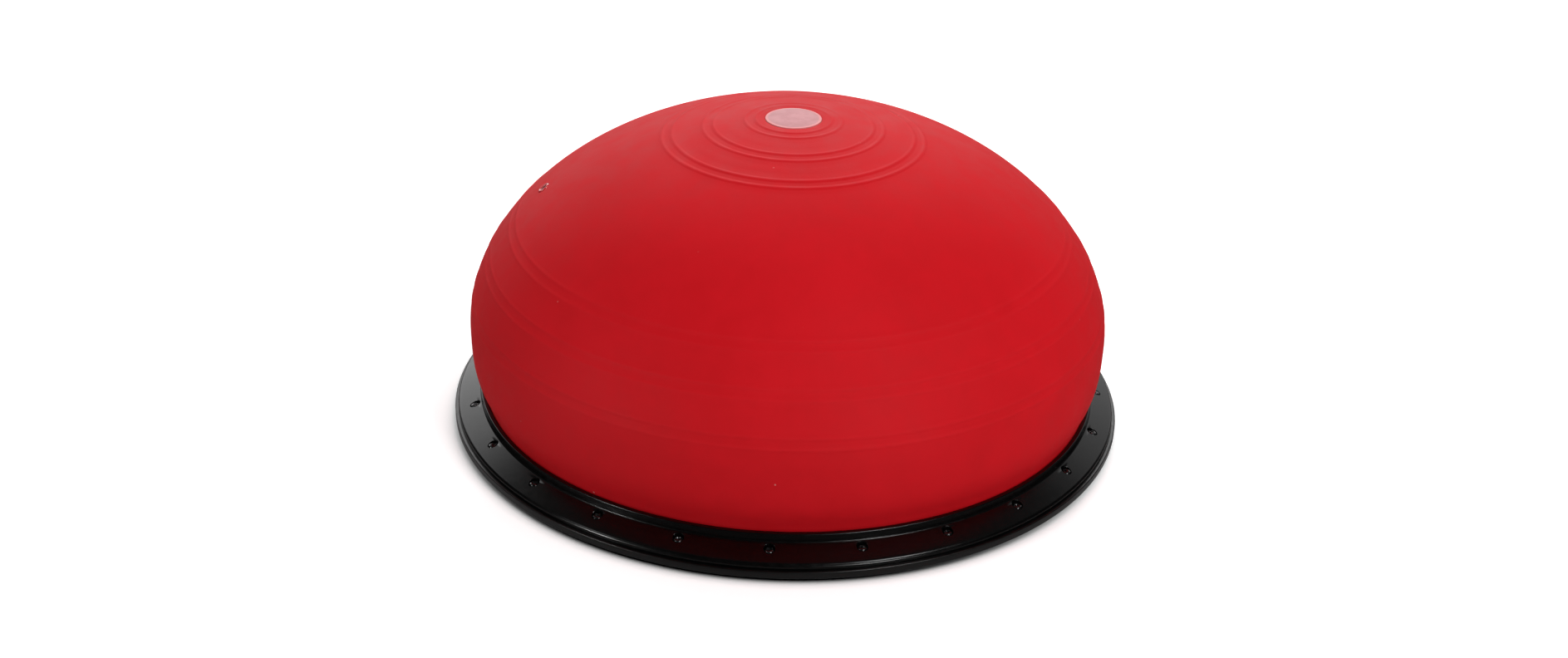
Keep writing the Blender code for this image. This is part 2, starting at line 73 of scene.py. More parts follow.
bpy.context.scene.collection.objects.link(camera)
bpy.context.scene.camera = camera
bpy.context.scene.view_settings.view_transform = "Standard"

# The studio: a white table that runs out to a white backdrop behind the ball, under a dark
# ceiling. Soft boxes light the ball from the right, the left and behind, cards that gloss
# doesn't show lift its shades, and low strips draw the thin glints on the collar and the base.


class Wire:
    """One socket of a node tree. Operators on it add Math nodes, node() adds any other node."""

    def __init__(self, tree, socket=None):
        self.tree, self.socket = tree, socket

    def node(self, kind, settings=(), sockets=(), output=0):
        """Adds a node: its settings first, then a value or a link for each of its sockets.

        It gives the node's first output, or the one with the name or the place in output.
        """
        made = self.tree.nodes.new(kind)
        for name, value in dict(settings).items():
            setattr(made, name, value)
        for name, value in dict(sockets).items():
            if isinstance(value, Wire):
                self.tree.links.new(value.socket, made.inputs[name])
            else:
                made.inputs[name].default_value = value
        return Wire(self.tree, made.outputs[output] if made.outputs else None)

    def math(self, operation, first, second=0.0):
        """Adds a Math node on two numbers or wires."""
        return self.node("ShaderNodeMath", {"operation": operation}, {0: first, 1: second})

    def __add__(self, other):
        return self.math("ADD", self, other)

    def __radd__(self, other):
        return self.math("ADD", other, self)

    def __sub__(self, other):
        return self.math("SUBTRACT", self, other)

    def __rsub__(self, other):
        return self.math("SUBTRACT", other, self)

    def __mul__(self, other):
        return self.math("MULTIPLY", self, other)

    def __rmul__(self, other):
        return self.math("MULTIPLY", other, self)

    def axis(self, letter):
        """The X, Y or Z of a vector."""
        return self.node("ShaderNodeSeparateXYZ", sockets={"Vector": self}, output=letter)

    def off_axis(self):
        """How far a place is from the Z axis."""
        x, y = self.axis("X"), self.axis("Y")
        return self.math("SQRT", x * x + y * y)

    def step(self, low, high):
        """0 where the value is at low, 1 at high, with a soft bend at each."""
        return self.node(
            "ShaderNodeMapRange",
            {"interpolation_type": "SMOOTHSTEP"},
            {"Value": self, "From Min": low, "From Max": high},
        )

    def blend(self, without, fully):
        """The number without where this mask is 0, and fully where it is 1."""
        return without * (1 - self) + fully * self

    def tint(self, without, fully):
        """The colour without where this mask is 0, and fully where it is 1.

        The Mix node has several sockets of one name, so those for colours go by their place.
        """
        factor, first, second, result = 0, 6, 7, 2
        without, fully = (c if isinstance(c, Wire) else (*c, 1.0) for c in (without, fully))
        sockets = {factor: self, first: without, second: fully}
        return self.node("ShaderNodeMix", {"data_type": "RGBA"}, sockets, output=result)


# How bright the surroundings are in gloss and as soft light, and the x, y or z of a direction
# between which one part of them fades into the next.
BACKDROP_LEFT, BACKDROP_MIDDLE, BACKDROP_RIGHT = 1.9, 1.1, 0.75
CEILING_BEHIND, ROOM_IN_FRONT = 0.1, 0.03
LEFT_FADE, RIGHT_FADE, BESIDE_FADE = (-0.4, -0.2), (0.2, 0.4), (0.62, 0.80)
BEHIND_FADE, CEILING_FADE = (-0.25, 0.2), (0.48, 0.70)

world = bpy.data.worlds.new("studio")
bpy.context.scene.world = world
world.use_nodes = True
world.node_tree.nodes.clear()
sky = Wire(world.node_tree)
towards = sky.node("ShaderNodeTexCoord", output="Generated")
x, y, z = (towards.axis(letter) for letter in "XYZ")
backdrop = x.step(*LEFT_FADE).blend(BACKDROP_LEFT, BACKDROP_MIDDLE)
backdrop = x.step(*RIGHT_FADE).blend(backdrop, BACKDROP_RIGHT)
beside = sky.math("ABSOLUTE", x).step(*BESIDE_FADE)
backdrop = beside.blend(backdrop, ROOM_IN_FRONT)
behind = z.step(*CEILING_FADE).blend(backdrop, CEILING_BEHIND)
room = y.step(*BEHIND_FADE).blend(ROOM_IN_FRONT, behind)
seen = sky.node("ShaderNodeLightPath", output="Is Camera Ray")
lit = sky.node(
    "ShaderNodeBackground", sockets={"Color": (1, 1, 1, 1), "Strength": seen.blend(room, 1.0)}
)
sky.node("ShaderNodeOutputWorld", sockets={"Surface": lit})


def soft_box(name, towards, distance, width, height, radiance, shines=True, lights=True):
    """A rectangular lamp that faces the ball. Its power is its radiance over its face and pi.

    One that doesn't shine has no reflection, and one that doesn't light has only that.
    """
    lamp = bpy.data.lights.new(name, "AREA")
    lamp.shape = "RECTANGLE"
    lamp.size, lamp.size_y = width, height
    lamp.energy = radiance * math.pi * width * height
    made = bpy.data.objects.new(name, lamp)
    place = Vector(towards).normalized() * distance
    turn = place.to_track_quat("Z", "Y").to_matrix().to_4x4()
    made.matrix_world = Matrix.Translation(place) @ turn
    made.visible_glossy, made.visible_diffuse = shines, lights
    bpy.context.scene.collection.objects.link(made)
    return made


soft_box("key_box", (0.45, -0.50, 0.74), 2.4, 0.6, 0.6, 16.1)
soft_box("side_box", (-0.74, -0.32, 0.59), 2.4, 0.4, 0.5, 5.6)
soft_box("back_box", (0.0, 0.80, 0.60), 2.6, 1.6, 1.2, 5.0)
soft_box("top_card", (0.0, 0.05, 1.0), 2.6, 2.0, 2.0, 1.25, shines=False)
soft_box("right_card", (0.90, -0.25, 0.35), 2.6, 1.2, 1.2, 2.1, shines=False)
soft_box("left_card", (-0.55, -0.75, 0.36), 2.6, 1.2, 1.2, 1.45, shines=False)

# Each low strip is two lamps in one place: the second only brightens its glint.
LOW_STRIPS = (
    ("right", (0.468, -0.873, 0.137), 0.45, 120.0),
    ("left", (-0.826, -0.557, 0.084), 0.25, 220.0),
)
for side, towards, width, in_glint in LOW_STRIPS:
    soft_box("glint_" + side, towards, 2.4, width, 0.08, 60.0)
    soft_box("edge_" + side, towards, 2.4, width, 0.08, in_glint, lights=False)

# The floor is white to the camera and dimmer as light on the ball. Near the base its colour and
# glow carry a painted shadow, deepest close to the base and at its front, and gloss mirrors the
# floor dark from a little way off the base.
FLOOR_RADIUS, FLOOR_SIDES = 6.0, 96
FLOOR_SEEN, FLOOR_BOUNCE, TABLE_IN_GLOSS = 1.0, 0.55, 0.08
FLOOR_GLOW, GLOW_FADE = 0.38, (0.8, 2.0)
BASE_EDGE = 260.0 * MM
GLOSS_FADE = (BASE_EDGE + 5 * MM, BASE_EDGE + 25 * MM)
CONTACT_REACH, CONTACT_FADE = 12.0 * MM, (0.48, 1.05)
SHADE_ACROSS, SHADE_AHEAD, SHADE_FADE = -0.15, -0.97, (-0.1, 0.95)


def full_turn(steps):
    """Angles at even steps once round, anticlockwise from the X axis."""
    return np.linspace(0, 2 * np.pi, steps, endpoint=False)


turns = full_turn(FLOOR_SIDES)
floor_mesh = bpy.data.meshes.new("floor")
floor_mesh.from_pydata(
    FLOOR_RADIUS * np.column_stack((np.cos(turns), np.sin(turns), np.zeros(FLOOR_SIDES))),
    [],
    [list(range(FLOOR_SIDES))],
)
floor = bpy.data.objects.new("floor", floor_mesh)
bpy.context.scene.collection.objects.link(floor)
floor_paint = bpy.data.materials.new("white_floor")
floor_paint.use_nodes = True
floor_paint.node_tree.nodes.clear()
paint = Wire(floor_paint.node_tree)
seen = paint.node("ShaderNodeLightPath", output="Is Camera Ray")
in_gloss = paint.node("ShaderNodeLightPath", output="Is Glossy Ray")
place = paint.node("ShaderNodeTexCoord", output="Object")
from_middle = place.off_axis()
# Painted shadow: the floor's colour and glow darken where the base is close, most at the front.
outside_painted_shadow = paint.node(
    "ShaderNodeAmbientOcclusion", {"samples": 16}, {"Distance": CONTACT_REACH}, output="AO"
).step(*CONTACT_FADE)
shade = place.axis("X") * (SHADE_ACROSS / BASE_EDGE) + place.axis("Y") * (SHADE_AHEAD / BASE_EDGE)
outside_painted_shadow = 1 - shade.step(*SHADE_FADE) * (1 - outside_painted_shadow)
white = (seen * outside_painted_shadow).tint([0.0] * 3, [FLOOR_SEEN] * 3)
off_the_base = from_middle.step(*GLOSS_FADE)
bounce = (in_gloss * off_the_base).tint([FLOOR_BOUNCE] * 3, [TABLE_IN_GLOSS] * 3)
matt = paint.node("ShaderNodeBsdfDiffuse", sockets={"Color": seen.tint(bounce, white)})
glow = seen * outside_painted_shadow * from_middle.step(*GLOW_FADE).blend(FLOOR_GLOW, 1.0)
glow = paint.node("ShaderNodeEmission", sockets={"Strength": glow})
lifted = paint.node("ShaderNodeAddShader", sockets={0: matt, 1: glow})
paint.node("ShaderNodeOutputMaterial", sockets={"Surface": lifted})
floor_mesh.materials.append(floor_paint)

# The half ball: one moulded rubber membrane, 3.5 mm thick and filled with air. Six pairs of low
# rings are moulded round it, and its foot is a bead that the clamp ring presses into the base.
BALL_TOP = 234.9 * MM
BULGE_RADIUS, BULGE_HEIGHT = 244.6 * MM, 75.0 * MM
CROWN_POWER = 1.906
UNDERSIDE_DEPTH, UNDERSIDE_POWER = 85.3 * MM, 3.53
UNDERSIDE_END = 32.0 * MM
NECK_RADIUS, NECK_TOP, NECK_RUN = 235.418 * MM, 20.0 * MM, 2.8 * MM
WALL = 3.5 * MM
LIP = 24.1 * MM
RIDGE_HALF_WIDTH, RIDGE_SPACING = 2.5 * MM, 8.0 * MM
CROWN_RIDGE_HEIGHT, SHOULDER_RIDGE_HEIGHT = 0.45 * MM, 0.3 * MM
CROWN_PAIRS = np.array((32.1, 63.7, 95.3)) * MM
SHOULDER_PAIRS = np.array((231.0, 264.0, 297.0)) * MM
DISC_RADIUS, GAP = 20.9 * MM, 0.3 * MM
DISC_SEAT_DEPTH, SEAT_EDGE_WIDTH, SEAT_EDGE_DROP = 1.1 * MM, 0.25 * MM, 0.15 * MM
VALVE_LENGTH, VALVE_ANGLE = 199.5 * MM, math.radians(181.0)
VALVE_HOLE, VALVE_SEAT, VALVE_SEAT_DEPTH = 3.7 * MM, 5.3 * MM, 1.1 * MM
VALVE_SEAT_ROUND, VALVE_SEAT_ROUND_MIDDLE = 0.35 * MM, 0.1 * MM
FOOT_TOP, FOOT_BOTTOM = 11.2 * MM, 4.8 * MM
FOOT_INNER, FOOT_OUTER = 231.918 * MM, 241.018 * MM
FOOT_ROUND, FOOT_FILLET = 2.0 * MM, 1.2 * MM
DEEP_RED, BRIGHT_RED = (0.60, 0.0042, 0.0092), (0.66, 0.0056, 0.0120)
RUBBED_RED, DUST = (0.66, 0.014, 0.020), (0.62, 0.38, 0.35)

# The net of points on the ball: columns round it, rows over a pair of rings, between pairs and
# below the last, and the block of cells that makes way for the valve.
AROUND, PAIR_ROWS, ROW_PITCH, LOW_ROWS = 256, 17, 6.2 * MM, 14
BLOCK_REACH, BLOCK_COLUMNS_ASIDE = 11.0 * MM, 3
NORMAL_REACH, WELD_REACH = 0.2 * MM, 0.002 * MM


def smooth_skin():
    """Close points (radius, height) down the ball's outside, and their lengths from the top.

    Above the bulge the skin is a superellipse, and below it a second, squarer one. From where
    that ends, a power curve that leaves it with the same slope straightens into the neck.
    """
    quarter = np.linspace(0, np.pi / 2, 900)
    crown = np.column_stack((
        BULGE_RADIUS * np.sin(quarter) ** (2 / CROWN_POWER),
        BULGE_HEIGHT + (BALL_TOP - BULGE_HEIGHT) * np.cos(quarter) ** (2 / CROWN_POWER),
    ))
    low = np.linspace(BULGE_HEIGHT, UNDERSIDE_END, 300)[1:]
    share = 1 - ((BULGE_HEIGHT - low) / UNDERSIDE_DEPTH) ** UNDERSIDE_POWER
    under = np.column_stack((BULGE_RADIUS * share ** (1 / UNDERSIDE_POWER), low))
    slope = (under[-2, 0] - under[-1, 0]) / (low[-2] - low[-1])
    rise = UNDERSIDE_END - NECK_TOP
    height = np.linspace(UNDERSIDE_END, NECK_TOP, 90)[1:]
    start = under[-1, 0] - NECK_RUN
    neck = start + NECK_RUN * ((height - NECK_TOP) / rise) ** (slope * rise / NECK_RUN)
    skin = np.vstack((crown, under, np.column_stack((neck, height))))
    return skin, np.concatenate(([0], np.cumsum(np.hypot(*np.diff(skin, axis=0).T))))


skin, skin_lengths = smooth_skin()


def on_skin(length, out=0.0):
    """(radius, height) points at lengths down the skin, moved out along its normal."""
    length = np.asarray(length, float)
    at = [
        np.stack([np.interp(length + step, skin_lengths, skin[:, k]) for k in (0, 1)], axis=-1)
        for step in (0, -NORMAL_REACH, NORMAL_REACH)
    ]
    along = at[2] - at[1]
    along /= np.linalg.norm(along, axis=-1, keepdims=True)
    normal = np.stack((-along[..., 1], along[..., 0]), axis=-1)
    return at[0] + np.asarray(out)[..., None] * normal


def length_at(height):
    """Length down the skin, from its top to a height."""
    return np.interp(-np.asarray(height), -skin[:, 1], skin_lengths)


def crown_height(radius):
    """Height of the ball's smooth skin over a radius, above the bulge."""
    above = skin[:, 1] >= BULGE_HEIGHT
    return np.interp(radius, skin[above, 0], skin[above, 1])


def ridge_share(length):
    """1 on the crest of a raised ring and 0 off it, with a cosine side: two rings to a pair."""
    middles = np.concatenate((CROWN_PAIRS, SHOULDER_PAIRS))
    crests = np.concatenate((middles - RIDGE_SPACING / 2, middles + RIDGE_SPACING / 2))
    off = np.abs(np.asarray(length)[..., None] - crests).min(axis=-1)
    return 0.5 + 0.5 * np.cos(np.pi * np.minimum(off / RIDGE_HALF_WIDTH, 1.0))


def points_at(x, y, z):
    """Points from their x, y and z, of which each is one number, a row, a column or a grid."""
    return np.stack(np.broadcast_arrays(x, y, z), axis=-1)


def points_round(radius, turn, height):
    """Points at a radius and a height, carried round the Z axis to an angle."""
    return points_at(radius * np.cos(turn), radius * np.sin(turn), height)


def turned(outline, columns):
    """Every (radius, height) of an outline carried round the Z axis: rows of points."""
    radius, height = np.asarray(outline, float).T[..., None]
    return points_round(radius, full_turn(columns), height)


def grid_faces(rows, columns):
    """Four-sided faces of rows of points, each with its neighbours right and below.

    The last column meets the first. Rows that run down a shape, with columns that run
    anticlockwise seen from above, give faces that point outwards.
    """
    across = np.arange(columns)
    after = (across + 1) % columns
    top = np.arange(rows - 1)[:, None] * columns
    corners = (top + across, top + columns + across, top + columns + after, top + after)
    return np.stack(corners, axis=-1).reshape(-1, 4)


def band(*parts):
    """Rows of points, laid one below the other, and the faces between them."""
    rows = np.concatenate(parts)
    return rows, grid_faces(*rows.shape[:2])


def make_piece(name, patches, finish, sharp=35.0):
    """A mesh object from patches of (points, faces), joined where their edges meet."""
    points, faces, start = [], [], 0
    for patch, quads in patches:
        patch = patch.reshape(-1, 3)
        points.append(patch)
        faces += (quads + start).tolist()
        start += len(patch)
    mesh = bpy.data.meshes.new(name)
    mesh.from_pydata(np.vstack(points), [], faces)
    bm = bmesh.new()
    bm.from_mesh(mesh)
    bmesh.ops.remove_doubles(bm, verts=bm.verts, dist=WELD_REACH)
    bmesh.ops.recalc_face_normals(bm, faces=bm.faces)
    bm.to_mesh(mesh)
    bm.free()
    mesh.shade_smooth()
    mesh.set_sharp_from_angle(angle=math.radians(sharp))
    mesh.materials.append(finish)
    made = bpy.data.objects.new(name, mesh)
    bpy.context.scene.collection.objects.link(made)
    return made


def mark_points(piece, name, mark):
    """Keeps mark(points), a number for each of a piece's points, for its material to read."""
    points = np.empty(len(piece.data.vertices) * 3)
    piece.data.vertices.foreach_get("co", points)
    kept = piece.data.attributes.new(name, "FLOAT", "POINT")
    kept.data.foreach_set("value", mark(points.reshape(-1, 3)).astype(np.float32))


def lathe(name, outline, columns, finish, sharp=35.0):
    """A closed solid of revolution: the outline closes on itself, or both its ends are on Z."""
    rows = turned(outline, columns)
    if outline[0][0] > 0:
        rows = np.concatenate((rows, rows[:1]))
    return make_piece(name, [band(rows)], finish, sharp)


def arc(middle, radius, start, end, steps):
    """Points on an arc in the (radius, height) plane, from one angle to another in degrees."""
    turn = np.radians(np.linspace(start, end, steps + 1))
    return list(zip(middle[0] + radius * np.cos(turn), middle[1] + radius * np.sin(turn)))


def new_finish(name):
    """An empty material, and the wire to hang its nodes on."""
    made = bpy.data.materials.new(name)
    made.use_nodes = True
    made.node_tree.nodes.clear()
    return made, Wire(made.node_tree)


def noise(wire, place, scale, detail=2.0, roughness=0.5):
    """A cloudy 0 to 1 pattern with so many lumps to the metre."""
    sockets = {"Vector": place, "Scale": scale, "Detail": detail, "Roughness": roughness}
    return wire.node("ShaderNodeTexNoise", {}, sockets)


def bumped(wire, height, distance, strength=1.0, under=None):
    """A normal that follows a height pattern, of 0 to 1, so many metres deep."""
    sockets = {"Height": height, "Distance": distance, "Strength": strength}
    if under:
        sockets["Normal"] = under
    return wire.node("ShaderNodeBump", {}, sockets)


def marked(wire, name):
    """The number that mark_points kept under a name."""
    return wire.node("ShaderNodeAttribute", {"attribute_name": name}, output="Fac")


def shaded(wire, sockets):
    """Ends a material in a Principled shader with these values and links."""
    shader = wire.node("ShaderNodeBsdfPrincipled", {}, sockets)
    wire.node("ShaderNodeOutputMaterial", sockets={"Surface": shader})


def red_rubber_finish():
    """Moulded red rubber: matt, faintly cloudy, finely grained, with a little dust on it."""
    made, wire = new_finish("red_rubber")
    place = wire.node("ShaderNodeTexCoord", output="Object")
    clouds = noise(wire, place, 9.0, 3.0)
    mottle = noise(wire, place, 55.0, 3.0, 0.6)
    grain = noise(wire, place, 900.0, 2.0)
    shade = (clouds * 0.6 + mottle * 0.4).step(0.3, 0.7)
    red = shade.tint(DEEP_RED, BRIGHT_RED)
    red = (marked(wire, "ridge") * 0.12).tint(red, RUBBED_RED)
    speck = wire.node(
        "ShaderNodeTexVoronoi", {"feature": "F1"}, {"Vector": place, "Scale": 75.0}
    )
    gate = noise(wire, place, 26.0, 1.0)
    dust = (1 - speck.step(0.035, 0.075)) * gate.step(0.62, 0.68)
    shaded(wire, {
        "Base Color": (dust * 0.6).tint(red, DUST),
        "Roughness": mottle.step(0.25, 0.75).blend(0.60, 0.70),
        "IOR": 1.5,
        "Specular IOR Level": 0.1,
        "Normal": bumped(wire, grain, 0.06 * MM, 0.6, bumped(wire, mottle, 0.25 * MM, 0.5)),
    })
    return made


def loop_patch(outside, inside, shares):
    """Rings of points from one closed loop to another, as shares of the way between them."""
    shares = np.asarray(shares)[:, None, None]
    return outside * (1 - shares) + inside * shares


def on_ball(length, angle, out=0.0):
    """Points on the ball's skin at lengths down it and angles round it."""
    radius, height = np.moveaxis(on_skin(length, out), -1, 0)
    return points_round(radius, angle, height)


valve_at = on_ball(VALVE_LENGTH, VALVE_ANGLE)
valve_out = on_ball(VALVE_LENGTH, VALVE_ANGLE, 1.0) - valve_at
valve_round = np.array((-math.sin(VALVE_ANGLE), math.cos(VALVE_ANGLE), 0.0))
valve_down = np.cross(valve_round, valve_out)


def round_valve(outline, turn):
    """Points at (radius, height) off the skin on the valve's axis, carried round that axis."""
    radius, height = np.asarray(outline, float).T[..., None, None]
    turn = np.asarray(turn)[:, None]
    spoke = np.cos(turn) * valve_down + np.sin(turn) * valve_round
    return valve_at + radius * spoke + height * valve_out


def ball_rows():
    """Lengths down the skin for the ball's rows of points, close together over the rings."""
    reach = RIDGE_SPACING / 2 + RIDGE_HALF_WIDTH
    over = np.linspace(-reach, reach, PAIR_ROWS)
    pairs = [middle + over for middle in (*CROWN_PAIRS, *SHOULDER_PAIRS)]
    inner = length_at(crown_height(DISC_RADIUS + GAP))
    rows = [np.array((inner, inner + SEAT_EDGE_WIDTH))]
    for before, after in zip(pairs, pairs[1:]):
        rows.append(before)
        steps = max(2, round((after[0] - before[-1]) / ROW_PITCH))
        rows.append(np.linspace(before[-1], after[0], steps + 1)[1:-1])
    rows.append(pairs[-1])
    rows.append(np.linspace(pairs[-1][-1], length_at(LIP), LOW_ROWS)[1:])
    return np.concatenate(rows)


def walk_round(top, low, columns):
    """(row, column) of the points on the edge of a block of cells, anticlockwise from outside."""
    walk = [(top, c) for c in columns[::-1]]
    walk += [(r, columns[0]) for r in range(top + 1, low + 1)]
    walk += [(low, c) for c in columns[1:]]
    walk += [(r, columns[-1]) for r in range(low - 1, top, -1)]
    return tuple(np.array(walk).T)


def valve_opening(edge, inside_edge):
    """Rings from a block's edge to the round seat, down it, across it and through the wall."""
    flat = edge - valve_at
    turn = np.arctan2(flat @ valve_round, flat @ valve_down)
    rim = round_valve([(VALVE_SEAT + VALVE_SEAT_ROUND, 0.0)], turn)[0]
    seat_and_hole = round_valve([
        (VALVE_SEAT + VALVE_SEAT_ROUND_MIDDLE, -VALVE_SEAT_ROUND_MIDDLE),
        (VALVE_SEAT, -VALVE_SEAT_ROUND),
        (VALVE_SEAT, -VALVE_SEAT_DEPTH),
        (VALVE_HOLE, -VALVE_SEAT_DEPTH),
        (VALVE_HOLE, -WALL),
    ], turn)
    return np.concatenate((
        loop_patch(edge, rim, np.linspace(0, 1, 5)),
        seat_and_hole,
        loop_patch(seat_and_hole[-1], inside_edge, (0.5, 1.0)),
    ))


def build_ball(finish):
    """The membrane above the collar: outside, seat of the disc, valve hole and inside.

    The outside is a function of length down the skin and angle round it, and the inside is the
    same, a wall further in. A block of cells round the valve is left out of both, and the
    rings of its opening join them there.
    """
    lengths, angles = ball_rows(), full_turn(AROUND)
    heights = np.where(lengths < VALVE_LENGTH, CROWN_RIDGE_HEIGHT, SHOULDER_RIDGE_HEIGHT)
    rise = ridge_share(lengths) * heights
    outside = on_ball(lengths[:, None], angles, rise[:, None])
    inside = on_ball(lengths[:, None], angles, -WALL)
    seat_edge = on_skin(lengths[0])
    across = np.linspace(0.0, seat_edge[0], 6)
    seat = turned(np.column_stack((across, crown_height(across) - DISC_SEAT_DEPTH)), AROUND)
    outside[0, :, 2] = seat_edge[1] - SEAT_EDGE_DROP
    inner_top = turned([(0.0, BALL_TOP - WALL), on_skin(lengths[0] / 2, -WALL)], AROUND)
    ceiling, ceiling_faces = band(inner_top, inside[:1])

    block = np.flatnonzero(np.abs(lengths - VALVE_LENGTH) < BLOCK_REACH)
    top, low = block[0], block[-1]
    column = int(round(VALVE_ANGLE / (2 * np.pi) * AROUND))
    columns = np.arange(column - BLOCK_COLUMNS_ASIDE, column + BLOCK_COLUMNS_ASIDE + 1)
    walk = walk_round(top, low, columns)
    faces = grid_faces(len(lengths), AROUND)
    row, cell = np.divmod(np.arange(len(faces)), AROUND)
    kept = ~((row >= top) & (row < low) & (cell >= columns[0]) & (cell < columns[-1]))

    ball = make_piece("rubber_ball", [
        band(seat, outside[:1]),
        (outside, faces[kept]),
        band(valve_opening(outside[walk], inside[walk])),
        (inside, faces[kept][:, ::-1]),
        (ceiling, ceiling_faces[:, ::-1]),
        band(outside[-1:], inside[-1:]),
    ], finish)
    mark_points(ball, "ridge", lambda points: ridge_share(length_at(points[:, 2])))
    return ball


def build_foot(finish):
    """The neck below the collar's edge, and the bead at its end, under the clamp ring."""
    lengths = length_at(np.linspace(LIP, NECK_TOP, 5))
    top_corner = (FOOT_OUTER - FOOT_ROUND, FOOT_TOP - FOOT_ROUND)
    low_corner = (FOOT_OUTER - FOOT_ROUND, FOOT_BOTTOM + FOOT_ROUND)
    outline = [
        *on_skin(lengths),
        *arc((NECK_RADIUS + FOOT_FILLET, FOOT_TOP + FOOT_FILLET), FOOT_FILLET, 180, 270, 4),
        *arc(top_corner, FOOT_ROUND, 90, 0, 6),
        *arc(low_corner, FOOT_ROUND, 0, -90, 6),
        (FOOT_INNER, FOOT_BOTTOM),
        *on_skin(lengths, -WALL)[::-1],
    ]
    return lathe("ball_foot", outline, AROUND, finish)


red_rubber = red_rubber_finish()
ball = build_ball(red_rubber)
foot = build_foot(red_rubber)
for piece in (ball, foot):
    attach(piece, "base")
    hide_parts("dome_membrane")
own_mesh(ball)

# The crown disc: thin pale rubber, glued into a shallow seat at the top of the ball. Its edge is
# rounded and stands a little proud of the ball's skin.
DISC_THICKNESS, DISC_STANDS_OUT, DISC_EDGE_ROUND = 1.2 * MM, 0.4 * MM, 0.4 * MM
DISC_RIM_INSIDE, DISC_RIM_OUTSIDE = 2.6 * MM, 1.0 * MM
GREYER_PINK, PALER_PINK, RIM_PINK = (0.52, 0.18, 0.195), (0.60, 0.24, 0.255), (0.82, 0.28, 0.28)


def pale_rubber_finish():
    """Pale pink rubber, greyer and cloudy in the middle, with a lighter rim."""
    made, wire = new_finish("pale_rubber")
    place = wire.node("ShaderNodeTexCoord", output="Object")
    clouds = noise(wire, place, 90.0, 3.0, 0.6)
    grain = noise(wire, place, 1400.0)
    pink = clouds.step(0.3, 0.7).tint(GREYER_PINK, PALER_PINK)
    rim = place.off_axis().step(DISC_RADIUS - DISC_RIM_INSIDE, DISC_RADIUS - DISC_RIM_OUTSIDE)
    shaded(wire, {
        "Base Color": (rim * 0.8).tint(pink, RIM_PINK),
        "Roughness": clouds.blend(0.48, 0.60),
        "IOR": 1.5,
        "Specular IOR Level": 0.25,
        "Normal": bumped(wire, grain, 0.05 * MM, 0.6),
    })
    return made


def build_disc(finish):
    """A disc whose faces follow the ball's crown, with a rounded edge."""
    inner = np.linspace(0.0, DISC_RADIUS - DISC_EDGE_ROUND, 14)
    top = np.column_stack((inner, crown_height(inner) + DISC_STANDS_OUT))
    corner = (DISC_RADIUS - DISC_EDGE_ROUND, top[-1, 1] - DISC_EDGE_ROUND)
    edge = arc(corner, DISC_EDGE_ROUND, 80, 0, 5)
    under = np.linspace(DISC_RADIUS, 0.0, 8)
    low = np.column_stack((under, crown_height(under) + DISC_STANDS_OUT - DISC_THICKNESS))
    return lathe("crown_disc_top", [*top, *edge, *low], 128, finish, sharp=50.0)


disc = build_disc(pale_rubber_finish())
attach(disc, "crown")
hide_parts("crown_disc")

# The inflation valve: moulded rubber for a pump needle, pushed through the wall. It has a raised
# round rim, a funnel mouth, and a stem that closes on the needle's hole by its own spring.
VALVE_RIM, VALVE_RIM_SUNK = 5.0 * MM, 0.8 * MM
VALVE_CREST, VALVE_CREST_ROUND = 4.05 * MM, 0.9 * MM
VALVE_MOUTH, VALVE_MOUTH_DEPTH, NEEDLE_RADIUS = 2.2 * MM, 3.0 * MM, 0.8 * MM
VALVE_THROAT, VALVE_THROAT_DEPTH = 1.65 * MM, 0.7 * MM
VALVE_STEM, VALVE_STEM_LENGTH = 3.4 * MM, 12.8 * MM
VALVE_COLUMNS = 40
VALVE_RED, LIGHT_VALVE_RED = (0.56, 0.010, 0.014), (0.66, 0.020, 0.024)
# The mouth's darker red is painted shade where the funnel sinks into the valve.
SHADED_MOUTH_RED = (0.10, 0.004, 0.005)


def valve_rubber_finish():
    """The ball's red in a softer, glossier rubber, darkened by painted shade down in the mouth.
    """
    made, wire = new_finish("valve_rubber")
    place = wire.node("ShaderNodeTexCoord", output="Object")
    spots = noise(wire, place, 700.0, 3.0, 0.6)
    red = spots.step(0.3, 0.7).tint(VALVE_RED, LIGHT_VALVE_RED)
    shaded(wire, {
        "Base Color": (marked(wire, "mouth") * 0.9).tint(red, SHADED_MOUTH_RED),
        "Roughness": spots.blend(0.14, 0.22),
        "IOR": 1.6,
        "Specular IOR Level": 0.9,
        "Normal": bumped(wire, spots, 0.05 * MM, 0.4),
    })
    return made


def in_mouth(points):
    """1 at points in the valve's mouth, to a tenth of a millimetre, and 0 at the others."""
    off = points - valve_at
    height = off @ valve_out
    radius = np.linalg.norm(off - height[:, None] * valve_out, axis=1)
    margin = 0.1 * MM
    in_funnel = (height > -VALVE_MOUTH_DEPTH - margin) & (height < margin)
    return in_funnel & (radius < VALVE_MOUTH + margin)


